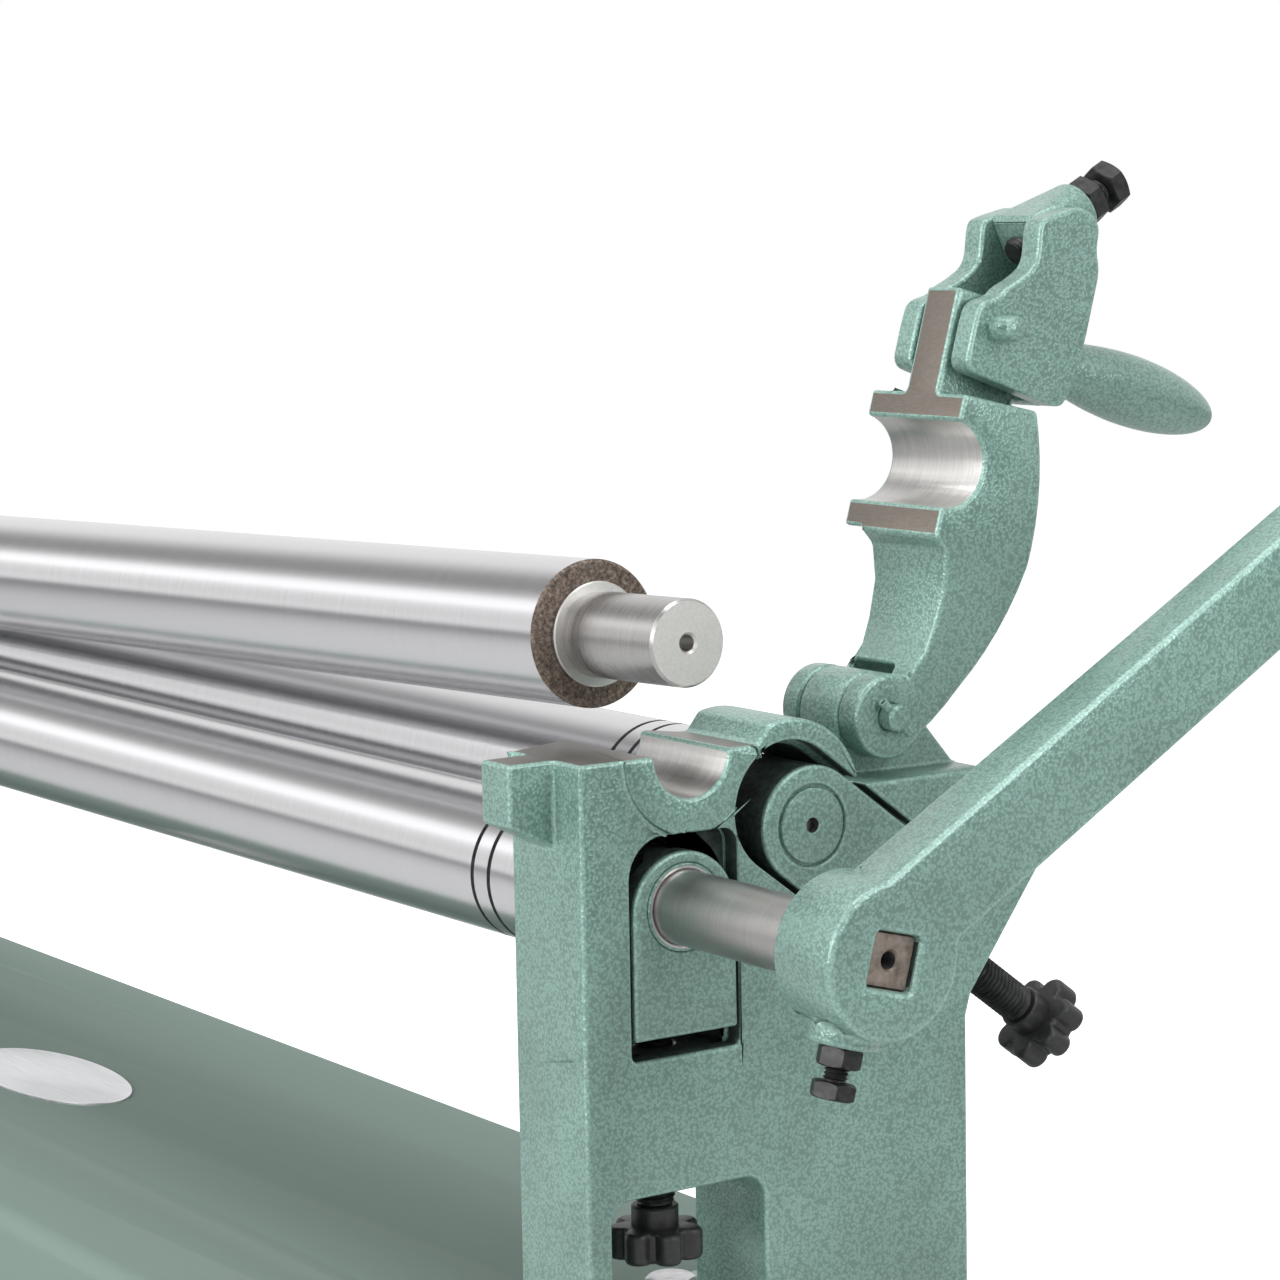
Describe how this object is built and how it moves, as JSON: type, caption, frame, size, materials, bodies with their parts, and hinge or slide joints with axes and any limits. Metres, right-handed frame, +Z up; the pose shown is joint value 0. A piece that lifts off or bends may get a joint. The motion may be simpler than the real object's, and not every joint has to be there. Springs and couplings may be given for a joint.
{
  "type": "slip roll machine",
  "caption": "Bench slip roll: ground steel rolls between cast end frames, with a crank, drive gears, a hinged yoke and cam latch, and star-knob adjusting screws.",
  "frame": {"origin": "centre of the rectangle of bench bolt holes, on the bench surface", "axes": "+X along the rolls towards the crank, +Y to the back, +Z up"},
  "size_m": [1.3899, 0.3406, 0.5061],
  "materials": {
    "green_hammertone": "satin",
    "green_sheet": "satin",
    "ground_steel": "polished",
    "zinc_plated": "satin",
    "black_oxide": "satin",
    "black_knob": "matte",
    "bronze_bearing": "satin"
  },
  "bodies": {
    "root": {"base_channel": "green_sheet", "base_end_plate_right": "green_sheet", "base_end_plate_left": "green_sheet", "base_plate_screws": "zinc_plated", "blank_plate": "ground_steel", "right_end_frame": "green_hammertone", "left_end_frame": "green_hammertone", "frame_bolts": "zinc_plated", "frame_nuts": "zinc_plated", "swivel_keeper": "green_hammertone", "swivel_keeper_screws": "zinc_plated", "gear_guard": "green_hammertone", "gear_guard_studs": "zinc_plated", "gear_guard_nuts": "zinc_plated"},
    "front_slide": {"front_block_right": "green_hammertone", "front_block_left": "green_hammertone", "front_bush_right": "ground_steel", "front_bush_left": "ground_steel"},
    "front_shaft": {"front_roll": "ground_steel", "front_gear": "ground_steel", "front_gear_key": "zinc_plated", "front_gear_collar": "zinc_plated", "crank_casting": "green_hammertone", "crank_set_screw": "black_oxide", "crank_lock_nut": "black_oxide", "crank_spindle": "zinc_plated", "crank_spindle_nut": "zinc_plated"},
    "crank_handle": {"crank_grip": "green_hammertone"},
    "rear_slide": {"rear_block_right": "green_hammertone", "rear_block_left": "green_hammertone", "rear_bush_right": "green_hammertone", "rear_bush_left": "green_hammertone"},
    "rear_shaft": {"rear_roll": "ground_steel"},
    "upper_swing": {"upper_swivel": "bronze_bearing"},
    "upper_shaft": {"upper_roll": "ground_steel", "upper_gear": "ground_steel", "upper_gear_key": "zinc_plated", "upper_gear_collar": "zinc_plated"},
    "yoke_arm": {"yoke": "green_hammertone", "hinge_pin": "green_hammertone", "hinge_roll_pin": "green_hammertone"},
    "latch": {"latch_casting": "green_hammertone", "latch_handle": "green_hammertone", "latch_pin": "green_hammertone", "latch_roll_pin": "green_hammertone", "latch_bolt": "black_oxide", "latch_lock_nut": "black_oxide"},
    "front_adjuster_right": {"front_screw_right": "black_oxide", "front_knob_right": "black_knob"},
    "front_adjuster_left": {"front_screw_left": "black_oxide", "front_knob_left": "black_knob"},
    "rear_adjuster_right": {"rear_screw_right": "black_oxide", "rear_knob_right": "black_knob"},
    "rear_adjuster_left": {"rear_screw_left": "black_oxide", "rear_knob_left": "black_knob"}
  },
  "joints": [
    {"name": "front_roll_gap", "type": "slide", "parent": "root", "child": "front_slide", "axis": [0, 0, 1], "range_m": [-0.004, 0]},
    {"name": "front_roll_spin", "type": "hinge", "parent": "front_slide", "child": "front_shaft", "pos_m": [0.5627, -0.035, 0.265], "axis": [1, 0, 0], "continuous": true},
    {"name": "crank_grip_spin", "type": "hinge", "parent": "front_shaft", "child": "crank_handle", "pos_m": [0.6737, 0.16564, 0.38752], "axis": [1, 0, 0], "continuous": true},
    {"name": "rear_roll_gap", "type": "slide", "parent": "root", "child": "rear_slide", "axis": [0, 0.7986, -0.6018], "range_m": [-0.0055, 0.028]},
    {"name": "rear_roll_spin", "type": "hinge", "parent": "rear_slide", "child": "rear_shaft", "pos_m": [0.5627, 0.018, 0.2862], "axis": [1, 0, 0], "continuous": true},
    {"name": "upper_roll_lift", "type": "hinge", "parent": "root", "child": "upper_swing", "pos_m": [-0.5417, -0.03165, 0.31599], "axis": [0, 1, 0], "range_deg": [0, 1.87]},
    {"name": "upper_roll_spin", "type": "hinge", "parent": "upper_swing", "child": "upper_shaft", "pos_m": [-0.5417, -0.03165, 0.31599], "axis": [0.9995, 0, 0.0327], "continuous": true},
    {"name": "yoke_hinge", "type": "hinge", "parent": "root", "child": "yoke_arm", "pos_m": [0.5627, 0.057, 0.3185], "axis": [1, 0, 0], "range_deg": [0, 105.8]},
    {"name": "latch_pivot", "type": "hinge", "parent": "yoke_arm", "child": "latch", "pos_m": [0.5627, 0.10302, 0.44973], "axis": [1, 0, 0], "range_deg": [0, 110]},
    {"name": "front_screw_right_turn", "type": "hinge", "parent": "front_slide", "child": "front_adjuster_right", "pos_m": [0.5417, -0.035, 0.175], "axis": [0, 0, 1], "range_deg": [-721, 0]},
    {"name": "front_screw_left_turn", "type": "hinge", "parent": "front_slide", "child": "front_adjuster_left", "pos_m": [-0.5417, -0.035, 0.175], "axis": [0, 0, 1], "range_deg": [-721, 0]},
    {"name": "rear_screw_right_turn", "type": "hinge", "parent": "rear_slide", "child": "rear_adjuster_right", "pos_m": [0.5417, 0.09786, 0.22602], "axis": [0, 0.7986, -0.6018], "range_deg": [-991, 5041]},
    {"name": "rear_screw_left_turn", "type": "hinge", "parent": "rear_slide", "child": "rear_adjuster_left", "pos_m": [-0.5417, 0.09786, 0.22602], "axis": [0, 0.7986, -0.6018], "range_deg": [-991, 5041]}
  ],
  "couplings": [
    {"joint": "upper_roll_spin", "follows": "front_roll_spin", "ratio": -1},
    {"joint": "yoke_hinge", "follows": "upper_roll_lift", "ratio": 56.48},
    {"joint": "front_screw_right_turn", "follows": "front_roll_gap", "rad_per_m": 3141.6},
    {"joint": "front_screw_left_turn", "follows": "front_roll_gap", "rad_per_m": 3141.6},
    {"joint": "rear_screw_right_turn", "follows": "rear_roll_gap", "rad_per_m": 3141.6},
    {"joint": "rear_screw_left_turn", "follows": "rear_roll_gap", "rad_per_m": 3141.6}
  ]
}
